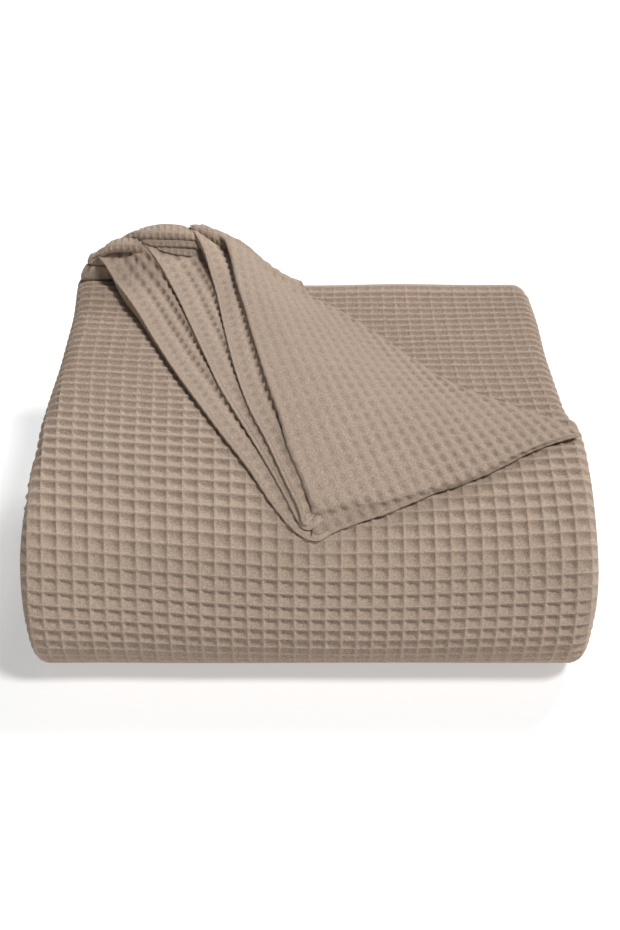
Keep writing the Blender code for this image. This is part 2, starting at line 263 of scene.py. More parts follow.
# ------------------------------------------------------------------ material
def cotton(name, tint=(1.0, 1.0, 1.0), ridge_painted_highlight=1.08, pit_painted_shade=0.985, dots=0.0):
    """Taupe cotton yarn: heathered colour, fine threads both ways, fuzz and a soft sheen, with painted shade in the
    cells and a painted highlight on the ridges.
    """
    m = bpy.data.materials.new(name)
    m.use_nodes = True
    nt = m.node_tree
    nodes, links = nt.nodes, nt.links
    nodes.clear()
    out = nodes.new("ShaderNodeOutputMaterial")
    shader = nodes.new("ShaderNodeBsdfPrincipled")
    links.new(shader.outputs[0], out.inputs[0])
    shader.inputs["Roughness"].default_value = 0.93
    shader.inputs["Specular IOR Level"].default_value = 0.18
    shader.inputs["Sheen Weight"].default_value = 0.16
    shader.inputs["Sheen Roughness"].default_value = 0.45
    shader.inputs["Sheen Tint"].default_value = (0.93, 0.84, 0.76, 1)

    uv = nodes.new("ShaderNodeUVMap"); uv.uv_map = "weave"
    place = nodes.new("ShaderNodeTexCoord")

    def math_node(kind, a, b=None, c=None, clamp=False):
        node = nodes.new("ShaderNodeMath"); node.operation = kind; node.use_clamp = clamp
        for i, v in enumerate((a, b, c)):
            if v is None:
                continue
            if isinstance(v, (int, float)):
                node.inputs[i].default_value = v
            else:
                links.new(v, node.inputs[i])
        return node.outputs[0]

    split = nodes.new("ShaderNodeSeparateXYZ"); links.new(uv.outputs[0], split.inputs[0])
    u, v = split.outputs[0], split.outputs[1]

    # distance from the nearest ridge, each way
    def ridge(coordinate):
        f = math_node("FRACT", coordinate)
        return math_node("SUBTRACT", 0.5, math_node("ABSOLUTE", math_node("SUBTRACT", f, 0.5)))

    ra, rb = ridge(u), ridge(v)
    lift = nodes.new("ShaderNodeMapRange")
    lift.inputs["From Min"].default_value = 7.0
    lift.inputs["From Max"].default_value = 24.0
    lift.inputs["To Min"].default_value = 0.0
    lift.inputs["To Max"].default_value = 0.20
    links.new(v, lift.inputs["Value"])
    inside = math_node("MULTIPLY", math_node("MINIMUM", math_node("ADD", ra, lift.outputs[0]), rb), 2.0)
    if dots:
        du, dv = math_node("SUBTRACT", 0.5, ra), math_node("SUBTRACT", 0.5, rb)
        away = math_node("SQRT", math_node("ADD", math_node("MULTIPLY", du, du), math_node("MULTIPLY", math_node("MULTIPLY", dv, dv), dots)))
        inside = math_node("SUBTRACT", 1.0, math_node("MULTIPLY", away, 2.0))

    def noise(scale, detail, rough, source=None):
        node = nodes.new("ShaderNodeTexNoise")
        node.inputs["Scale"].default_value = scale
        node.inputs["Detail"].default_value = detail
        node.inputs["Roughness"].default_value = rough
        links.new(source or place.outputs["Object"], node.inputs["Vector"])
        return node.outputs[0]

    broad = noise(9.0, 3.0, 0.55)
    heather = noise(900.0, 2.0, 0.7)
    fuzz = noise(2600.0, 2.0, 0.6)

    ramp = nodes.new("ShaderNodeValToRGB")
    ramp.color_ramp.elements[0].position = 0.32
    ramp.color_ramp.elements[0].color = tuple(c * t for c, t in zip(COLOURS[0], tint)) + (1,)
    ramp.color_ramp.elements[1].position = 0.68
    ramp.color_ramp.elements[1].color = tuple(c * t for c, t in zip(COLOURS[1], tint)) + (1,)
    links.new(heather, ramp.inputs[0])

    # painted shade: cells are darker towards their bottom; painted highlight: the ridges are paler
    painted_pit_shade_and_ridge_highlight = nodes.new("ShaderNodeMapRange")
    painted_pit_shade_and_ridge_highlight.inputs["From Min"].default_value = 0.30 if dots else 0.08
    painted_pit_shade_and_ridge_highlight.inputs["From Max"].default_value = 0.85 if dots else 0.32
    painted_pit_shade_and_ridge_highlight.inputs["To Min"].default_value = ridge_painted_highlight
    painted_pit_shade_and_ridge_highlight.inputs["To Max"].default_value = pit_painted_shade
    links.new(inside, painted_pit_shade_and_ridge_highlight.inputs["Value"])
    slow = nodes.new("ShaderNodeMapRange")
    slow.inputs["From Min"].default_value = 0.3
    slow.inputs["From Max"].default_value = 0.7
    slow.inputs["To Min"].default_value = 0.96
    slow.inputs["To Max"].default_value = 1.04
    links.new(broad, slow.inputs["Value"])
    shade = math_node("MULTIPLY", painted_pit_shade_and_ridge_highlight.outputs[0], slow.outputs[0])
    if not dots:
        def step(value, low, high):
            node = nodes.new("ShaderNodeMapRange"); node.interpolation_type = "SMOOTHSTEP"
            node.inputs["From Min"].default_value = low
            node.inputs["From Max"].default_value = high
            links.new(value, node.inputs["Value"])
            return node.outputs[0]

        # the steep far wall of a cell holds a little more shade
        f = math_node("FRACT", v)
        wall = math_node("MULTIPLY", step(f, 0.66, 0.84), math_node("SUBTRACT", 1.0, step(f, 0.92, 1.0)))
        wall = math_node("MULTIPLY", wall, step(math_node("ADD", ra, math_node("MULTIPLY", lift.outputs[0], 0.6)), 0.04, 0.20))
        upper = step(v, 10.0, 24.0)
        shade = math_node("MULTIPLY", shade, math_node("SUBTRACT", 1.0, math_node("MULTIPLY", wall, math_node("MULTIPLY_ADD", upper, 0.12, 0.04))))
        # and so does the right wall, on the front
        g = math_node("FRACT", u)
        right = math_node("MULTIPLY", step(g, 0.58, 0.82), math_node("SUBTRACT", 1.0, step(g, 0.93, 1.0)))
        right = math_node("MULTIPLY", math_node("MULTIPLY", right, step(rb, 0.03, 0.16)), math_node("SUBTRACT", 1.0, upper))
        shade = math_node("MULTIPLY", shade, math_node("SUBTRACT", 1.0, math_node("MULTIPLY", right, 0.10)))
    tone = nodes.new("ShaderNodeVectorMath"); tone.operation = "SCALE"
    links.new(ramp.outputs[0], tone.inputs[0])
    links.new(shade, tone.inputs["Scale"])
    links.new(tone.outputs[0], shader.inputs["Base Color"])

    # threads: warp and weft floats, fourteen to a cell, beating against each other
    def threads(coordinate, other, count):
        a = math_node("SINE", math_node("MULTIPLY", coordinate, math.tau * count))
        b = math_node("SINE", math_node("MULTIPLY", other, math.tau * count * 0.5))
        return math_node("MULTIPLY_ADD", a, 0.5, math_node("MULTIPLY", b, 0.25))

    warp_first = math_node("LESS_THAN", ra, rb)
    weave_a, weave_b = threads(u, v, 13.0), threads(v, u, 13.0)
    mix = math_node("ADD", math_node("MULTIPLY", weave_a, math_node("SUBTRACT", 1.0, warp_first)),
                    math_node("MULTIPLY", weave_b, warp_first))
    height = math_node("ADD", math_node("MULTIPLY", mix, 0.35),
                       math_node("ADD", math_node("MULTIPLY", heather, 1.3), math_node("MULTIPLY", fuzz, 0.7)))
    bump = nodes.new("ShaderNodeBump")
    bump.inputs["Strength"].default_value = 0.72
    bump.inputs["Distance"].default_value = 0.0008
    links.new(height, bump.inputs["Height"])
    links.new(bump.outputs[0], shader.inputs["Normal"])
    return m


COLOURS = ((0.350, 0.265, 0.203), (0.542, 0.419, 0.333))
COTTON = cotton("taupe_waffle_cotton")
# the reverse side: painted shade darkens the dimples and a painted highlight lifts the ridges between them
COTTON_BACK = cotton("taupe_waffle_cotton_reverse", ridge_painted_highlight=1.06, pit_painted_shade=0.84, dots=0.67)
# a darker copy of the cotton: painted shade for the bands deep inside the hood
COTTON_PAINTED_SHADE = cotton("taupe_waffle_cotton_painted_shade", tint=(0.84, 0.84, 0.84))
# a darker copy of the reverse-side cotton for the flap: painted shade that tones down its lit top
COTTON_FLAP_PAINTED_SHADE = cotton("taupe_waffle_cotton_flap_painted_shade", tint=(0.885, 0.885, 0.885), ridge_painted_highlight=1.04, pit_painted_shade=0.90, dots=0.50)

made = []


def piece(o):
    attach(o, "root")
    made.append(o)
    return o


# ------------------------------------------------------------------ the outer face of the pad
def section(q, left, right):
    """Across the strip: q runs along the cloth from the middle of the outer ply, round the side
    fold and in under it. Gives x, and the height above the strip's middle."""
    side = np.sign(q)
    reach = np.where(q < 0, left, right) - SKIN
    r = np.abs(q)
    turn = np.clip((r - reach) / SKIN, 0.0, math.pi)
    x = np.minimum(r, reach) + SKIN * np.sin(turn) - np.maximum(r - reach - math.pi * SKIN, 0.0)
    # past the half turn, sin is 0, so x walks back toward the middle
    return side * x, SKIN * np.cos(turn)


def rows_tilt(x, s):
    """The rows of cells sag a little in the middle: how far a row is shifted along, in mm."""
    fade = np.interp(s, [-20, 60, 395, 448], [0.2, 1.0, 1.0, 0.0])
    left = -np.interp(s, [0, 60, 170, 330], [6.0, 9.0, 14.0, 14.0]) * (np.maximum(-x, 0) / 175) ** 1.15
    right = -5.5 * (np.maximum(x, 0) / 175) ** 2
    return (left + right) * fade


def wrap_base(a, s):
    """Points of the outer face for column numbers a and rows that lie at s in the middle."""
    A, R = np.meshgrid(a, s)
    q = A * np.where(A < 0, curve(PITCH, R, 1), curve(PITCH, R, 2))
    S = R - rows_tilt(np.clip(q, -180, 180), R)
    wobble = 1.1 * ripple(S, A * 3, 95, 3)
    left = curve(SIDES, S, 1) + wobble * 0.6
    right = curve(SIDES, S, 2) + 1.1 * ripple(S, A * 3, 80, 4) * 0.6
    x, d = section(q, left, right)
    y, z, ny, nz = face(S)
    y = y - np.minimum(S, 0.0)
    soft = 0.8 * ripple(x, S, 140, 5) * ease((S - 20) / 60) - 0.4
    corner = 7.5 * ease((S - 410) / 34) * ease((-x - 116) / 26)
    h = d - SKIN + (soft + corner) * ease(d / (0.6 * SKIN))
    p = np.stack([x, y + h * ny, z + h * nz], axis=-1)
    return p, A, (R - 58.0) / ROW, x, S


def near_line(x, s, rows, reach):
    """0 on a line in plan, 1 farther from it than reach."""
    r = np.array(rows, float)[:, :2]
    least = np.full(x.shape, 1e9)
    for a, b in zip(r[:-1], r[1:]):
        d = b - a
        f = np.clip(((x - a[0]) * d[0] + (s - a[1]) * d[1]) / (d @ d), 0.0, 1.0)
        least = np.minimum(least, np.hypot(x - a[0] - f * d[0], s - a[1] - f * d[1]))
    return ease(least / reach)


def outer_face():
    a = cell_lines(-22.6, 22.6)
    s = cell_lines(-1.5, 50.4) * ROW
    s = s[s < BACK_ALONG - 1.5]
    s = np.concatenate([s, [BACK_ALONG]])
    p, A, B, X, S = wrap_base(a, s + 4.0)
    pits = waffle_top(A, B, np.interp(S, [120, 260, 330], [0.05, 0.35, 0.55]))
    depth = PIT * np.interp(S, [0, 200, 300, 448, 455], [1.0, 1.0, 1.35, 1.3, 0.3])
    depth = depth * np.interp(np.abs(X), [160, 171, 181], [1.0, 1.12, 0.72])
    depth = depth * (0.4 + 0.6 * near_line(X, S, EDGE_1, 10.0))
    o = cloth("outer_face", p, A, B, COTTON, depth=depth, flip=False, hems=("last",), weave=pits)
    return piece(o)


# ------------------------------------------------------------------ the flap, the fan and the hood
EDGE_1 = [  # folds of the fan, tip first: x, s and height of the foremost line
    (17, 172, 1.2), (11, 167.5, 1.3), (4, 164.5, 1.5), (-2.5, 166, 1.5), (-8.9, 170, 1.5), (-22.2, 185, 1.6),
    (-39.2, 212, 1.7), (-60.4, 246, 1.9), (-78.8, 282, 2.2), (-94.9, 318, 2.8), (-112.1, 360, 4.4),
    (-130.1, 403, 8.7), (-139.3, 420, 12.1), (-145.1, 430, 14.1), (-151.2, 438, 21.0), (-156.1, 443, 26.0),
    (-159.4, 447, 27.7), (-161.5, 450, 27.6),
]
EDGE_2 = [
    (9, 178, 4.4), (3.5, 172.5, 4.3), (-0.5, 171.0, 4.3), (-3.8, 171.6, 4.4), (-7.0, 175, 4.5), (-14.6, 189, 5.0),
    (-24.3, 207, 5.7), (-37.6, 232, 6.9), (-50.1, 257, 8.3), (-61.1, 282, 10.1), (-74.0, 322, 13.4), (-88.5, 368, 18.2),
    (-95.6, 390, 20.8), (-103.0, 410, 23.7), (-109.9, 424, 29.2), (-116.9, 434, 35.2), (-123.8, 442, 40.0),
    (-129.3, 448, 42.5), (-132, 451, 43.0),
]
EDGE_3 = [
    (4, 182, 7.6), (0.5, 176.0, 7.6), (-2.2, 173.6, 7.6), (-4.4, 174.4, 7.7), (-7.6, 183, 8.2), (-16.5, 201, 9.3),
    (-28.4, 228, 11.3), (-40.0, 254, 13.4), (-49.7, 287, 17.0), (-59.9, 338, 23.6), (-67.4, 382, 29.7),
    (-72.6, 404, 34.8), (-77.5, 424, 40.7), (-80.2, 432, 43.2), (-85.5, 443, 47.6), (-89.6, 448.5, 48.6), (-92.0, 451.2, 48.0),
]
EDGE_4 = [
    (0.9, 183, 11.9), (-5.7, 199, 14.1), (-14.7, 220, 16.8), (-20.0, 239, 19.3), (-29.0, 269, 23.2),
    (-40.4, 320, 29.9), (-45.3, 346, 33.4), (-52.0, 377, 37.7), (-59.5, 423, 43.6), (-64.5, 440, 45.9),
    (-67.6, 445, 46.2), (-71.8, 448.5, 47.0), (-75.3, 451, 47.4),
]
FAR_EDGE = [  # the flap's far edge: (share of the way back, x, s, h)
    (0, 176, 244.0, 2.7), (0.1, 166, 253, 2.8), (0.25, 132, 273, 2.9), (0.4, 100, 296, 2.9),
    (0.55, 74, 330, 2.9), (0.7, 48, 371, 2.9), (0.85, 22, 409, 2.1), (1, -1, 436, 1.3),
]
SHOULDER = [  # where the flap's top turns down into its front: (x, s, h)
    (0, 182.9, 13.2), (15.7, 185.4, 11.8), (30.9, 187.9, 10.6), (46.8, 189.9, 9.2), (70.4, 194.9, 7.9), (93.6, 202.0, 7.1),
    (115.2, 211.6, 6.7), (135.3, 223.8, 6.4), (152.5, 233.4, 5.9), (166.6, 240.2, 4.5), (178, 244.5, 2.5),
]
FRONT_FOOT = [  # and where that front meets the pad: (x, s)
    (0, 167.2), (8.9, 168.2), (20.9, 172.8), (39.3, 179.2), (49.5, 182.4), (59.7, 187), (68.8, 191), (78.4, 195.4),
    (88.2, 199.3), (107.1, 206.6), (124.3, 215.6), (146.2, 228.8), (163.2, 236.6), (178, 242.0),
]
FALL = [(0, 1.0), (0.167, 0.985), (0.333, 0.83), (0.5, 0.58), (0.667, 0.32), (0.833, 0.12), (1, 0.0)]
HOOD_RIM = [  # the top line at the back: (x, h)
    (-172, 17), (-168, 21), (-164.8, 25), (-161.3, 28.6), (-158, 31.6), (-154, 35.2), (-150, 38.2), (-145.3, 40.3),
    (-140.3, 41.8), (-136.3, 44), (-130.9, 46.8), (-124, 49.6), (-115.7, 51.4), (-106.7, 52.3), (-98.5, 51.6),
    (-92.6, 50.4), (-88, 50.7), (-80.8, 51), (-76, 50.4), (-68, 48), (-59.5, 43.6), (-48.8, 37.6), (-36.2, 25.2),
    (-26.5, 16.6), (-15.2, 8.0), (-7, 3.4), (4, 1.3),
]


EDGE_RISE = 1.1        # from a fold's foremost line up to its top
EDGE_SINK = 1.1        # and down to its foot
FALL_BACK = [(0, 1.0), (0.167, 0.84), (0.333, 0.62), (0.5, 0.38), (0.667, 0.19), (0.833, 0.06), (1, 0.0)]


def fold_path(rows, count):
    """A fold's line, evenly sampled: x, s, foremost height."""
    r = np.array(rows, float)
    along = np.concatenate([[0.0], np.cumsum(np.hypot(*np.diff(r[:, :2], axis=0).T))])
    t = np.linspace(0, along[-1], count)
    full = np.column_stack([along, r])
    return np.stack([curve(full, t, c) for c in range(1, r.shape[1] + 1)], axis=1), t


def inward(path):
    d = np.gradient(path[:, :2], axis=0)
    d = d / np.linalg.norm(d, axis=1, keepdims=True)
    return np.stack([d[:, 1], -d[:, 0]], axis=1)


def fold_columns(path, way, reach, angles, sink):
    """Points (x, s, h) round a fold, from its hidden foot to just before its top."""
    a = np.radians(np.asarray(angles, float))
    top, mid = path[:, 2:3] + EDGE_RISE, path[:, 2:3]
    foot = mid - sink[:, None]
    off = reach * (1 - np.cos(a))[None, :]
    x = path[:, 0:1] + way[:, 0:1] * off
    s = path[:, 1:2] + way[:, 1:2] * off
    h = np.where(a[None, :] > 0, mid + (top - mid) * np.sin(a)[None, :], mid + (mid - foot) * np.sin(a)[None, :])
    return np.stack([x, s, h], axis=-1)


def lengths(p, axis):
    """Distance walked along a grid of points in one direction, from its start."""
    d = np.linalg.norm(np.diff(p, axis=axis), axis=-1)
    pad = [(0, 0), (0, 0)]
    pad[axis] = (1, 0)
    return np.cumsum(np.pad(d, pad), axis=axis)


def nearest_share(path, other):
    """For each point of a path, the place on the other one nearest to it, made to move evenly."""
    d = np.hypot(path[:, None, 0] - other[None, :, 0], path[:, None, 1] - other[None, :, 1])
    i = np.maximum.accumulate(np.argmin(d, axis=1)).astype(float)
    k = 9
    pad = np.concatenate([np.full(k, i[0]), i, np.full(k, i[-1])])
    return np.convolve(pad, np.ones(2 * k + 1) / (2 * k + 1), "valid")


def pleat(number, edge, following, drops, hook=None, sinks=((0, EDGE_SINK), (480, EDGE_SINK))):
    """One strip of the fan: its fold on the left, then its top, which ends under the next fold."""
    path, t = fold_path(edge, 330)
    other, _ = fold_path(following, 700)
    way, other_way = inward(path), inward(other)
    share = nearest_share(path, other)
    i = np.clip(share, 0, 699)
    take = lambda arr: np.stack([np.interp(i, np.arange(700), arr[:, c]) for c in range(arr.shape[1])], axis=1)
    over = 8.0
    end = take(other[:, :2]) + take(other_way) * over
    reach = 1.9
    start = path[:, :2] + way * reach
    top = path[:, 2:3] + EDGE_RISE
    drop = curve(drops, path[:, 1], 1)[:, None]
    target = take(other[:, 2:3]) - EDGE_SINK + 0.15 - drop
    if hook is not None:
        w = ease((path[:, 0:1] - hook) / 6.0) * (path[:, 1:2] < 190)
        end = end * (1 - w) + (path[:, :2] + way * 11.0) * w
        target = target * (1 - w) + (top - 0.6) * w
    m = 64
    w = np.linspace(0, 1, m)[None, :]
    span = np.linalg.norm(end - start, axis=1)[:, None]
    x = start[:, 0:1] + (end[:, 0:1] - start[:, 0:1]) * w
    s = start[:, 1:2] + (end[:, 1:2] - start[:, 1:2]) * w
    rise = np.clip(span / 22.0, 0.0, 1.0)
    reached = np.clip((span - over) / span, 0.25, 1.0)
    k = np.minimum(w / reached, 1.0)
    past = np.maximum(w - reached, 0.0)
    h = top + (target - top) * (0.35 * k + 0.65 * k ** 2.4) + 0.9 * rise * np.sin(math.pi * k ** 0.7) - 1.2 * past
    h = h + 0.35 * rise * ripple(x, s, 46, 20 + number) * np.sin(math.pi * k)
    if number == 1:
        line = np.interp(x, [-140, -131, -119, -109], [439.5, 436.0, 434.0, 431.5])
        h = h + 1.1 * ease((s - line) / 1.6) * ease((x + 139) / 8)
    flat = np.stack([x, s, h], axis=-1)
    angles = np.concatenate([np.linspace(-90, 0, 8), np.linspace(0, 90, 9)[1:-1]])
    side = fold_columns(path, way, reach, angles, curve(sinks, path[:, 1], 1))
    pts = np.concatenate([side, flat], axis=1)
    base = on_face(pts[..., 0], pts[..., 1], pts[..., 2])
    across, along = lengths(base, 1), lengths(base, 0)
    first = side.shape[1]
    a = (across - across[:, first:first + 1]) / 8.3
    b = np.broadcast_to(along[:, first + 10:first + 11], across.shape) / 8.8
    place = np.clip((across - across[:, first:first + 1]) / 22.0, -0.2, 1.0)
    depth = np.interp(place, [-0.2, 0.15, 0.45, 1.0], [0.3, 0.5, 1.4, 2.3])
    depth = depth * np.clip(span / 11.0, 0.25, 1.0)
    o = cloth("pleat_%d" % number, base, a, b, COTTON_BACK, depth=depth, toward=(0, 0, 1), weave=dimples(a, b))
    return piece(o)


WEAVE_A = (0.1143, 0.0511, -0.0081, 0.0122, -0.0125)
WEAVE_B = (-0.0413, 0.1037, -0.0055, 0.0060, -0.0100)


def flap_phase(x, s, g):
    """Cell number at a place of the flap: the weave's grid is turned and slowly bends."""
    x, s = (x - 60.0) / 100.0, (s - 240.0) / 100.0
    return 100.0 * (g[0] * x + g[1] * s + g[2] * x * x / 2 + g[3] * x * s + g[4] * s * s / 2)


def flap():
    """The flap: from the foot at the back over the rim, forward across the top, round its small
    front roll and in under it. Its left side is the fourth fold."""
    n_back, n_top, n_roll, n_tuck, m = 34, 300, 34, 8, 200
    u = np.linspace(0, 1, m)[None, :]
    # the part that lies on the top, front row last
    t = np.linspace(1, 0, n_top)
    table = sorted((r[1], r[0], r[2] + 1.9) for r in EDGE_4)
    s_left = 183.0 + (436.0 - 183.0) * t
    left = np.stack([curve(table, s_left, 1), s_left, curve(table, s_left, 2)], axis=1)
    way = inward(left[::-1])[::-1]
    reach = 2.4
    start = left[:, :2] + way * reach
    right = np.stack([curve(FAR_EDGE, t, c) for c in (1, 2, 3)], axis=1)
    back_share = ease((t[:, None] - 0.5) / 0.5)
    fall = curve(FALL, u, 1) * (1 - back_share) + curve(FALL_BACK, u, 1) * back_share
    x = start[:, 0:1] + (right[:, 0:1] - start[:, 0:1]) * u
    s = start[:, 1:2] + (right[:, 1:2] - start[:, 1:2]) * u
    h = right[:, 2:3] + (left[:, 2:3] - right[:, 2:3]) * fall
    h = h + 0.9 * np.sin(math.pi * u) * ripple(x, s, 120, 31) * ease(t[:, None] * 6)
    k = (1 - t[:, None]) ** 4
    front_x = 3.3 + 172.7 * u
    front_s, front_h = curve(SHOULDER, front_x, 1), curve(SHOULDER, front_x, 2)
    x = x + k * (front_x - x[-1:])
    s = s + k * (front_s - s[-1:])
    h = h + k * (front_h - h[-1:])
    top = np.stack([x, s, h], axis=-1)
    # over the rim and down the back
    v = np.linspace(1, 0, n_back)[:, None]
    s_b = np.interp(v, [0, 0.22, 0.42, 0.55, 0.7, 0.85, 1], [436, 444.5, 450.5, 454.5, 458, 460, 460.3])
    share = np.interp(v, [0, 0.22, 0.42, 0.55, 0.7, 0.85, 1], [1.0, 1.0, 0.985, 0.92, 0.74, 0.42, 0.04])
    x_l = np.interp(v, [0, 0.22, 0.42, 0.6, 1], [left[0, 0] + way[0, 0] * reach, -65.5, -72.0, -74.0, -75.0])
    x_r = np.interp(v, [0, 0.4, 1], [-1.0, -5.0, -9.0])
    xb = x_l + (x_r - x_l) * u
    rim = curve([(a, b) for a, b in HOOD_RIM], xb, 1)
    first_h = top[:1, :, 2]
    blend = ease(v / 0.42)
    hb = (first_h * (1 - blend) + np.maximum(rim, 1.3) * blend) * share
    sb = np.broadcast_to(s_b, xb.shape) + (top[:1, :, 1] - 436.0) * (1 - ease(v / 0.3))
    back = np.stack([xb, sb, hb], axis=-1)[:-1]
    # the front, from the shoulder down to the pad and in under the flap
    x1, s1, h1 = front_x[0], front_s[0], front_h[0]
    s0 = np.minimum(curve(FRONT_FOOT, x1, 1), s1 - 1.2)
    gap, tall = s1 - s0, h1 - 2.2
    rows = [
        (s1, h1), (s1 - 0.12 * gap - 0.9, h1 - 0.16 * tall), (s1 - 0.20 * gap - 1.0, h1 - 0.52 * tall),
        (s1 - 0.46 * gap - 0.6, h1 - 0.80 * tall), (s0 + 0.16 * gap, 2.2 + 0.10 * tall), (s0 - 0.2, 1.3), (s0 + 0.6, 0.35), (s0 + 4.0, 0.3),
    ]
    roll = spline(np.stack([np.stack([x1, a, b + 0 * x1], axis=-1) for a, b in rows]), n_roll)[1:]
    k = np.linspace(0, 1, n_tuck)[1:, None]
    tuck = np.stack([np.broadcast_to(front_x, (n_tuck - 1, m)), s0 + 4.0 + 6.0 * k, np.full((n_tuck - 1, m), 0.3)], axis=-1)
    pts = np.concatenate([back, top, roll, tuck])
    base = on_face(pts[..., 0], pts[..., 1], pts[..., 2])
    # the fold along the left side, in the plane of the surface's own normal
    n = normals(base)
    n = n if n[n_back + 20, 60, 2] > 0 else -n
    out = base[:, 0] - base[:, 3]
    out = out / np.linalg.norm(out, axis=1, keepdims=True)
    row = np.arange(len(base))
    up = np.interp(row, [0, n_back + 10, n_back + n_top - 30, n_back + n_top, n_back + n_top + n_roll], [1.9, 1.9, 1.9, 2.4, 2.4])
    down = np.interp(row, [0, n_back, n_back + n_top - 60, n_back + n_top, n_back + n_top + n_roll], [1.8, 1.8, 1.8, 4.0, 4.0])
    low = (row > n_back + n_top + n_roll - 2)
    up, down = np.where(low, 0.8, up), np.where(low, 0.8, down)
    angles = np.concatenate([np.linspace(-90, 0, 8), np.linspace(0, 90, 9)[1:-1]])
    cols = []
    for ang in np.radians(angles):
        size = np.where(ang > 0, up, down)
        sink = np.where(ang > 0, up * (1 - math.sin(ang)), up - down * math.sin(ang))
        cols.append(base[:, 0] + out * (reach * math.cos(ang)) - n[:, 0] * sink[:, None])
    side = np.stack(cols, axis=1)
    whole = np.concatenate([side, base], axis=1)
    # weave: cell numbers from where the cloth would lie if it were spread flat
    flat_x, flat_s = pts[..., 0].copy(), pts[..., 1].copy()
    down_len = lengths(base, 0)
    i0, i1 = n_back - 1, n_back - 2 + n_top
    flat_s[:i0] = pts[i0, :, 1] + (down_len[i0] - down_len[:i0])
    flat_s[i1 + 1:] = pts[i1, :, 1] - (down_len[i1 + 1:] - down_len[i1])
    A, B = flap_phase(flat_x, flat_s, WEAVE_A), flap_phase(flat_x, flat_s, WEAVE_B)
    back_len = lengths(whole, 1)[:, :side.shape[1] + 1]
    off = (back_len[:, -1:] - back_len)[:, :-1]
    step = np.linalg.norm(base[:, 4] - base[:, 0], axis=1)[:, None]
    A = np.concatenate([A[:, :1] - off * (A[:, 4:5] - A[:, :1]) / step, A], axis=1)
    B = np.concatenate([B[:, :1] - off * (B[:, 4:5] - B[:, :1]) / step, B], axis=1)
    c = side.shape[1]
    share_u = np.concatenate([np.zeros(c), u[0]])[None, :]
    depth = np.interp(share_u, [0, 0.06, 0.2, 0.45, 1], [0.4, 0.4, 0.8, 1.5, 2.3]) * (1.0 + 0.35 * ripple(np.concatenate([np.zeros((len(pts), c)), flat_x], axis=1), np.concatenate([np.zeros((len(pts), c)), flat_s], axis=1), 55, 71))
    depth = depth * np.interp(row, [0, n_back - 4, n_back + 60], [0.4, 0.4, 1.0])[:, None]
    on_roll = ease((row - i1 + 6) / 10.0)[:, None]
    depth = depth * (1 - on_roll) + on_roll * np.interp(share_u, [0, 0.1, 1], [0.8, 1.9, 1.2]) * np.interp(row, [i1, i1 + 22, i1 + 28], [1.0, 0.8, 0.0])[:, None]
    depth = depth * ease((1 - share_u) / 0.035 + 0.05)
    depth = np.minimum(depth, np.maximum(np.concatenate([np.full((len(pts), c), 9.0), pts[..., 2]], axis=1) - 0.3, 0.1))
    # the flap takes the darker copy with painted shade
    o = cloth("flap", whole, A, B, COTTON_FLAP_PAINTED_SHADE, depth=depth, toward=(0, 0, 1), hems=("right",), weave=dimples(A, B, 0.71),
              thick=np.interp(row, [0, n_back, n_back + 20, n_back + n_top - 20, n_back + n_top - 4, n_back + n_top + 2], [0.1, 0.2, 1.2, 1.2, 0.3, 0.1])[:, None])
    return piece(o)


def spline(points, count):
    """A smooth curve through control rows: (rows, columns, 3) becomes (count, columns, 3)."""
    p = np.concatenate([2 * points[:1] - points[1:2], points, 2 * points[-1:] - points[-2:-1]])
    k = len(points) - 1
    t = np.linspace(0, k, count)
    i = np.minimum(t.astype(int), k - 1)
    f = (t - i)[:, None, None]
    a, b, c, d = p[i], p[i + 1], p[i + 2], p[i + 3]
    return 0.5 * (2 * b + (c - a) * f + (2 * a - 5 * b + 4 * c - d) * f**2 + (3 * b - a - 3 * c + d) * f**3)


def band(name, rows, depth=0.9, pitch=5.0, back=10.0, material=None):
    """A half-round band at the back of the fan: (x, lip s, lip h, rim s, rim h) from left to right."""
    r = np.array(rows, float)
    x = np.linspace(r[0, 0], r[-1, 0], 110)
    sl, hl, sr, hr = (curve(r, x, c) for c in (1, 2, 3, 4))
    d_s, d_h = sr - sl, hr - hl
    rowsets = [
        (sl + 8, hl - 3.5), (sl + 2.6, hl - 2.6), (sl, hl), (sl + 0.12 * d_s - 0.8, hl + 0.45 * d_h),
        (sl + 0.5 * d_s, hl + 0.86 * d_h + 0.6), (sr, hr), (sr + 3.2, hr - 2.2), (sr + 4.6, hr - 0.5 * back), (sr + 4.6, hr - back),
    ]
    pts = spline(np.stack([np.stack([x, s, h], axis=-1) for s, h in rowsets]), 46)
    base = on_face(pts[..., 0], pts[..., 1], pts[..., 2])
    across, along = lengths(base, 0), lengths(base, 1)
    a = along[20:21] / pitch + 0 * across
    b = (across - across[10:11]) / 9.0 + 0.3
    fade = np.interp(x, [x[0], x[0] + 8, x[-1]], [0.3, 1, 1])[None, :]
    o = cloth(name, base, a, b, material or COTTON, depth=depth * fade, toward=(0, -0.4, 1))
    return piece(o)


def ply(name, x_from, x_to, s, h, r_s, r_h, lean=0.45, depth=0.4):
    """A stacked ply that ends in its rounded side fold at the left."""
    f = np.concatenate([np.linspace(0, 0.8, 60)[:-1], 0.8 + 0.2 * np.sin(np.linspace(0, math.pi / 2, 40))])
    a = np.radians(np.linspace(-200, 200, 96))[:, None]
    firm = lambda v: np.sign(v) * np.abs(v) ** 0.55
    size = (1 - f ** 22) ** (1 / 3.0)
    up = h + r_h * size * firm(np.sin(a))
    x = x_from + (x_to - x_from) * f + lean * (up - h) * f ** 4
    base = on_face(x, s - r_s * size * firm(np.cos(a)), up)
    across, along = lengths(base, 0), lengths(base, 1)
    rib = depth * np.clip(size * 1.6 - 0.4, 0.0, 1.0)
    o = cloth(name, base, along[48:49] / 6.0 + 0 * across, across / 8.8 + 0.4, COTTON, depth=rib[None, :], toward=(0, 0, 0), outward=(0.5 * (x_from + x_to), float(face(s)[0])))
    return piece(o)


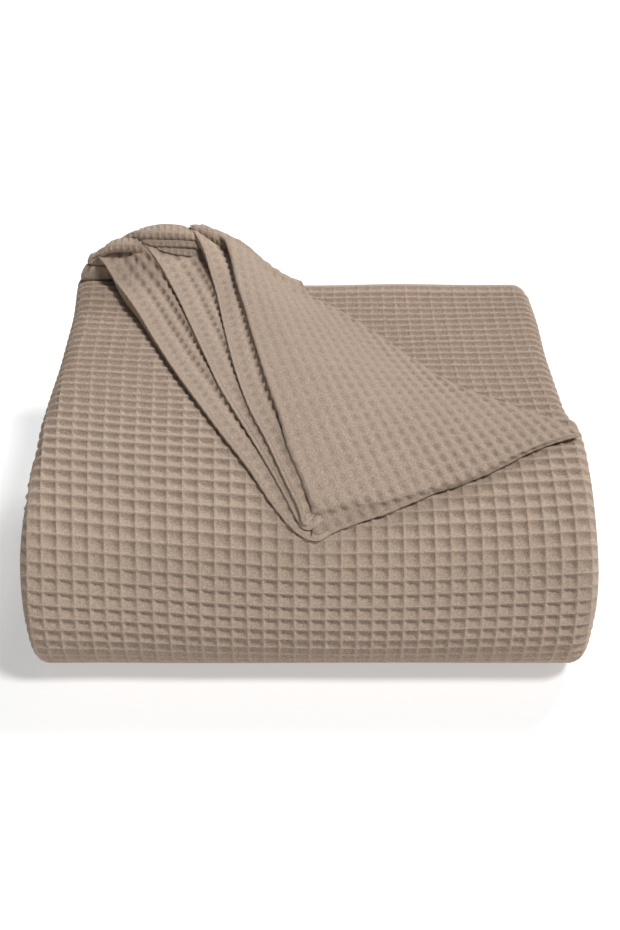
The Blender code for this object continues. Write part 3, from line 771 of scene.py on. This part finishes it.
def back_wall():
    """The back of the hood, from inside the rim over and down to the top ply."""
    x = np.linspace(-165, -50, 150)
    rim = curve(HOOD_RIM, x, 1)
    one = np.ones_like(x)
    full = ease((x + 164) / 16)
    rows = [
        (448.0, rim - 2 - 8 * full), (450.8, rim - 1.8 - 2.4 * full), (453.6, rim - 1.6), (456.6, rim * 0.90 - 0.6), (458.8, rim * 0.72),
        (459.8, rim * 0.45 + 1.5), (460.0, rim * 0.2 + 1.2), (459.2, 0 * rim + 0.9),
        (456.0, 0 * rim + 0.6), (451.5, 0 * rim + 0.5),
    ]
    pts = spline(np.stack([np.stack([x, s * one, h], axis=-1) for s, h in rows]), 52)
    # the left end bends forward round the corner
    bend = ease((-152 - pts[..., 0]) / 18.0)
    pts[..., 1] -= 6.0 * bend ** 2
    base = on_face(pts[..., 0], pts[..., 1], pts[..., 2])
    across, along = lengths(base, 0), lengths(base, 1)
    o = cloth("hood_back", base, along[30:31] / 8.8 + 0 * across, across / 8.8, COTTON, depth=1.2, toward=(0, 1, 0.3))
    return piece(o)


BAND_1 = [  # x, lip s, lip h, rim s, rim h
    (-163.5, 450, 25.0, 451.3, 26.5), (-159.4, 447.5, 27.8, 451, 31.2), (-155.2, 444, 30.6, 450.3, 34.6),
    (-149.4, 442, 34.4, 450, 39.3), (-144.1, 441.5, 35.2, 449.5, 41.4), (-138.1, 441, 35.5, 449, 42.4),
    (-131.4, 441, 35.1, 448, 42.8), (-124, 441, 33.2, 447, 41.6), (-117, 440, 30.0, 446, 37.5),
]
BAND_2A = [
    (-143.5, 450.5, 37.5, 451.8, 39.6), (-140.3, 450, 39.0, 452, 41.8), (-136.3, 449, 41.0, 452, 44.3),
    (-131, 447, 42.8, 451.5, 47.1), (-125.1, 443.2, 44.3, 451, 49.7), (-119, 442, 44.8, 451, 51.2),
    (-107.8, 441, 45.2, 451, 52.6), (-96.6, 441, 44.5, 450.8, 51.7), (-88, 441, 43.7, 449.5, 48.6), (-80, 441.5, 42.5, 447, 45.0),
]
BAND_2B = [
    (-124, 442, 41.6, 444, 43.2), (-119.1, 439.5, 40.0, 444.5, 43.5), (-111.6, 438.5, 39.5, 444, 43.7),
    (-100.4, 438, 39.4, 444, 43.5), (-89.2, 438, 39.0, 444, 42.8), (-79.5, 438.2, 37.0, 443, 41.0),
]
BAND_2C = [
    (-113, 438, 37.8, 440, 38.7), (-107.8, 436, 36.6, 441, 38.6), (-100.4, 435, 34.7, 441, 38.2),
    (-89.3, 434.5, 33.2, 441, 37.6), (-79, 434.5, 31.8, 441, 36.0),
]
BAND_3 = [
    (-89.5, 449.3, 50.6, 450.8, 51.6), (-85.7, 446.5, 48.6, 451, 52.3), (-80.8, 445, 45.6, 451, 52.5), (-76, 443.5, 42.9, 450, 51.3),
    (-68.5, 440, 39.6, 445.5, 47.6), (-62, 436, 35.8, 438, 42.0), (-58, 430, 34.0, 432, 38.0),
]


# ------------------------------------------------------------------ the passes inside the pad
BACK_LOW, BACK_UP = 276.5, 275.0     # middles of the back turns
FRONT_LOW, FRONT_UP = 56.0, 75.0     # middles of the front turns
END_BACK = 292.0                     # the strip's inner end
WIDTHS = [  # half widths along the inner strip, by the distance back from the start of the outer face
    (0, 182, 181), (260, 181, 178), (320, 178, 172), (540, 177.5, 173), (580, 174, 177),
    (800, 174.5, 176), (840, 177, 174), (1040, 177, 173.5), (1080, 172, 168), (1400, 171.5, 168.5),
]


def strip_path(step=1.0):
    """The middle of the strip from the start of the outer face back to its inner end: distance,
    y, z and the direction of its outer side."""
    y0 = float(face(0.0)[0])
    low, high = PASS_FRONT, PASS
    legs = [
        ("line", (y0, SKIN), (BACK_LOW, SKIN), (0, -1)),
        ("arc", (BACK_LOW, SKIN + high / 2), high / 2, 1, 1),
        ("line", (BACK_LOW, SKIN + high), (FRONT_LOW, SKIN + low), (0, 1)),
        ("arc", (FRONT_LOW, SKIN + 1.5 * low), low / 2, -1, -1),
        ("line", (FRONT_LOW, SKIN + 2 * low), (BACK_UP, SKIN + 2 * high), (0, -1)),
        ("arc", (BACK_UP, SKIN + 2.5 * high), high / 2, 1, 1),
        ("line", (BACK_UP, SKIN + 3 * high), (FRONT_UP, SKIN + 3 * low), (0, 1)),
        ("arc", (FRONT_UP, SKIN + 3.5 * low), low / 2, -1, -1),
        ("line", (FRONT_UP, SKIN + 4 * low), (END_BACK, SKIN + 4 * high), (0, -1)),
    ]
    rows, where = [], 0.0
    for leg in legs:
        if leg[0] == "line":
            (ya, za), (yb, zb), n = leg[1:]
            length = math.hypot(yb - ya, zb - za)
            count = max(2, int(length / step))
            for k in range(count):
                f = k / count
                rows.append((where + f * length, ya + f * (yb - ya), za + f * (zb - za), n[0], n[1]))
        else:
            (yc, zc), r, way, side = leg[1:]
            length = math.pi * r
            count = max(2, int(length / step))
            for k in range(count):
                f = k / count
                a = -math.pi / 2 + math.pi * f
                n = (way * math.cos(a), math.sin(a))
                rows.append((where + f * length, yc + r * n[0], zc + r * n[1], side * n[0], side * n[1]))
        where += length
    rows.append((where, END_BACK, SKIN + 4 * high, 0, -1))
    return np.array(rows, float)


PATH = strip_path()
BACK_LOW_AT = (float(BACK_LOW - face(0.0)[0]), float(BACK_LOW - face(0.0)[0] + math.pi * PASS / 2))
STRIP_LENGTH = float(PATH[-1, 0])


def inner_base(q, along):
    """Points of the strip's outer side inside the pad, for q across and distances along."""
    Q, L = np.meshgrid(q, along)
    left, right = curve(WIDTHS, L, 1), curve(WIDTHS, L, 2)
    wobble = 0.9 * ripple(L, Q * 0.3, 105, 44)
    x, d = section(Q, left + wobble, right + 0.7 * wobble)
    y, z, ny, nz = (np.interp(L, PATH[:, 0], PATH[:, c]) for c in (1, 2, 3, 4))
    size = np.hypot(ny, nz)
    ny, nz = ny / size, nz / size
    d = np.clip(d, -SKIN + 0.02, SKIN - 0.02) + 0.25 * ripple(Q, L, 90, 45) * np.where(L > 20, 1, 0) * (L > 290)
    return np.stack([x, y + d * ny, z + d * nz], axis=-1), Q / 10.0, (-L - 58.0) / ROW


def away_from(base, centre):
    """1 where the grid's own normals look away from the line through a centre, else -1."""
    n = normals(base)
    d = base[..., 1:] - np.asarray(centre, float)
    return float(np.sign(np.sum(n[..., 1:] * d)))


def side_folds(side):
    """The side fold of every inner pass, in one run."""
    w = float(max(r[1] if side < 0 else r[2] for r in WIDTHS))
    q = np.arange(139.0, w + 34.0, 1.7)
    along = np.arange(0.0, STRIP_LENGTH, 1.6)
    base, a, b = inner_base(side * q, along)
    # the outward normal there is the one that points away from the strip's own middle
    y, z = (np.interp(along, PATH[:, 0], PATH[:, c])[:, None] for c in (1, 2))
    n = normals(base)
    middle_x = side * (w - SKIN)
    v = np.stack([base[..., 0] - middle_x, base[..., 1] - y, base[..., 2] - z], axis=-1)
    flip = float(np.sum(n * v)) < 0
    o = cloth("side_folds_left" if side < 0 else "side_folds_right", base, a, b, COTTON,
              depth=PIT * np.interp(q, [139, 150], [1.0, 0.85])[None, :], flip=flip)
    return piece(o)


def back_turn(name, first, last, mid):
    """A back turn across the whole width, between the side folds."""
    q = cell_lines(-13.9, 13.9) * 10.0
    along = np.arange(math.floor(first / 1.6), math.ceil(last / 1.6)) * 1.6
    base, a, b = inner_base(q, along)
    flip = away_from(base, mid) < 0
    o = cloth(name, base, a, b, COTTON, depth=0.92 * PIT, flip=flip)
    return piece(o)


def underside():
    """The strip's first pass, which lies on the floor."""
    q = cell_lines(-13.9, 13.9, fine=(0.0, 0.2, 0.5, 0.8)) * 10.0
    rows = (-cell_lines(0.0, 27.6, fine=(0.0, 0.2, 0.5, 0.8)) * ROW - 4.0)
    along = -rows
    along = along[(along > 5.0) & (along < BACK_LOW_AT[0] - 6.0)]
    base, a, b = inner_base(q, along)
    o = cloth("underside", base, a, b, COTTON, depth=PIT, toward=(0, 0, -1))
    return piece(o)


def ply_ends(name, y, z, n, left, right, depth=30.0):
    """The cut end of the folded strip: the plies inside the outer one, thick enough to see."""
    half = []
    for w, side in ((left, -1), (right, 1)):
        pts = [(7.0, PLY / 2)]
        fold = w - SKIN + 1.0
        pts += [(fold * f, PLY / 2) for f in (0.3, 0.6, 0.85)]
        pts += [(fold + PLY / 2 * math.cos(a), PLY / 2 * math.sin(a)) for a in np.radians(np.linspace(90, -90, 9))]
        pts += [(fold * f, -PLY / 2) for f in (0.85, 0.6, 0.3)]
        pts += [(8.0 + PLY / 2 * math.cos(a), -PLY + PLY / 2 * math.sin(a)) for a in np.radians(np.linspace(90, 270, 9))]
        pts += [(fold * f, -COVER) for f in (0.3, 0.6, 0.85)] + [(w - 22.0, -COVER)]
        half.append([(side * px, d) for px, d in pts])
    made_here = []
    for points, suffix in zip(half, ("left", "right")):
        pts = np.array(points, float)
        seg = np.concatenate([[0.0], np.cumsum(np.hypot(*np.diff(pts, axis=0).T))])
        k = np.arange(0, seg[-1], 1.8)
        px, pd = np.interp(k, seg, pts[:, 0]), np.interp(k, seg, pts[:, 1])
        rows = np.linspace(-depth, 0.0, 16)
        wave = 0.5 * np.sin(px[None, :] / 19.0 + pd[None, :]) * (rows[:, None] + depth) / depth
        yy = y + rows[:, None] + 0.9 * np.sin(px[None, :] / 31.0 + 2 * pd[None, :]) * (rows[:, None] + depth) / depth
        base = np.stack([np.broadcast_to(px, yy.shape), yy + (pd[None, :]) * n[0], z + rows[:, None] * 0 + (pd + 0)[None, :] * n[1] + wave * 0.6], axis=-1)
        uv_a, uv_b = np.broadcast_to(k / 10.0, yy.shape), np.broadcast_to(rows[:, None] / 9.0, yy.shape)
        o = make_mesh(name + "_" + suffix, base, grid_quads(*yy.shape), np.stack([uv_a, uv_b], axis=-1), COTTON)
        thick = o.modifiers.new("thickness", "SOLIDIFY")
        thick.thickness = CLOTH * 0.001
        thick.offset = 0.0
        made_here.append(piece(o))
    return made_here


# ------------------------------------------------------------------ stage, light, camera
def stage():
    mesh = bpy.data.meshes.new("floor")
    r = 6.0
    mesh.from_pydata([(-r, -r, 0), (r, -r, 0), (r, r, 0), (-r, r, 0)], [], [(0, 1, 2, 3)])
    floor = bpy.data.objects.new("floor", mesh)
    floor.location = (0, 0, -0.0006)
    bpy.context.scene.collection.objects.link(floor)
    m = bpy.data.materials.new("pale_floor")
    m.use_nodes = True
    b = m.node_tree.nodes["Principled BSDF"]
    b.inputs["Base Color"].default_value = (0.62, 0.62, 0.62, 1)
    b.inputs["Emission Color"].default_value = (1, 1, 1, 1)
    b.inputs["Emission Strength"].default_value = 0.42
    b.inputs["Roughness"].default_value = 0.55
    mesh.materials.append(m)

    def sun(name, toward, strength, angle):
        light = bpy.data.lights.new(name, "SUN")
        light.energy = strength * math.pi
        light.angle = math.radians(angle)
        o = bpy.data.objects.new(name, light)
        o.rotation_euler = Vector(toward).to_track_quat("Z", "Y").to_euler()
        bpy.context.scene.collection.objects.link(o)
        return o

    sun("key", (0.34, 0.48, 0.81), 0.54, 22)
    sun("front_top", (0.42, -0.34, 0.84), 0.86, 11)
    world = bpy.data.worlds.new("studio")
    world.use_nodes = True
    world.node_tree.nodes["Background"].inputs[0].default_value = (1, 1, 1, 1)
    world.node_tree.nodes["Background"].inputs[1].default_value = 0.15
    bpy.context.scene.world = world
    bpy.context.scene.view_settings.view_transform = "Standard"

    cam = bpy.data.cameras.new("photo_view")
    cam.sensor_fit = "VERTICAL"
    cam.sensor_height = 36.0
    cam.lens = 1604 / 930 * 36.0
    cam.clip_end = 50
    o = bpy.data.objects.new("photo_view", cam)
    o.location = (SHIFT[0] * 0.001, -0.805 + SHIFT[1] * 0.001, 0.7075)
    o.rotation_euler = (math.radians(90 - 33.0), 0, 0)
    bpy.context.scene.collection.objects.link(o)
    bpy.context.scene.camera = o


face_piece = outer_face()
pleat(1, EDGE_1, EDGE_2, [(0, 0.0), (380, 0.3), (420, 0.8), (460, 1.2)], hook=-2.0,
      sinks=((0, 2.6), (318, 4.0), (380, 6.5), (403, 9.0), (415, 10.5), (424, 9.5), (432, 5.0), (445, 2.5), (460, 2.0)))
pleat(2, EDGE_2, EDGE_3, [(0, 0.0), (360, 0.3), (390, 1.5), (410, 5.0), (425, 10.0), (440, 13.0), (460, 14.0)],
      sinks=((0, EDGE_SINK), (400, EDGE_SINK), (430, 3.5), (460, 3.5)))
pleat(3, EDGE_3, EDGE_4, [(0, 2.4), (183, 2.2), (200, 0.6), (300, 0.6), (380, 1.2), (410, 3.0), (430, 7.0), (445, 12.0), (460, 14.0)],
      sinks=((0, EDGE_SINK), (390, EDGE_SINK), (410, 4.0), (430, 7.0), (460, 7.0)))
flap()
band("arch_1", BAND_1)
band("arch_2", BAND_2A)
# the two inner bands use the copy with painted shade
band("arch_2_middle", BAND_2B, depth=0.6, material=COTTON_PAINTED_SHADE)
band("arch_2_inner", BAND_2C, depth=0.5, material=COTTON_PAINTED_SHADE)
band("arch_3", BAND_3)
ply("left_ply_low", -118, -173.4, 454.0, 12.0, 5.6, 7.0)
ply("left_ply_high", -126, -168.0, 454.6, 22.8, 5.0, 4.2)
back_wall()
side_folds(-1)
side_folds(1)
back_turn("back_turn_low", BACK_LOW_AT[0] - 8.0, BACK_LOW_AT[1] + 30.0, (BACK_LOW, SKIN + PASS / 2))
low_length = BACK_LOW_AT[1] + math.hypot(BACK_LOW - FRONT_LOW, PASS - PASS_FRONT) + math.pi * PASS_FRONT / 2
up_start = low_length + math.hypot(BACK_UP - FRONT_LOW, 2 * (PASS - PASS_FRONT))
back_turn("back_turn_up", up_start - 30.0, up_start + math.pi * PASS / 2 + 30.0, (BACK_UP, SKIN + 2.5 * PASS))
underside()
end_y, end_z = (float(v) for v in face(BACK_ALONG - 1.0)[:2])
ply_ends("top_ply_ends", end_y, end_z - SKIN, (0, 1), 178.5, 164.0)
ply_ends("inner_ply_ends", END_BACK, SKIN + 4 * PASS, (0, -1), 171.5, 168.5)
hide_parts("blanket")
stage()
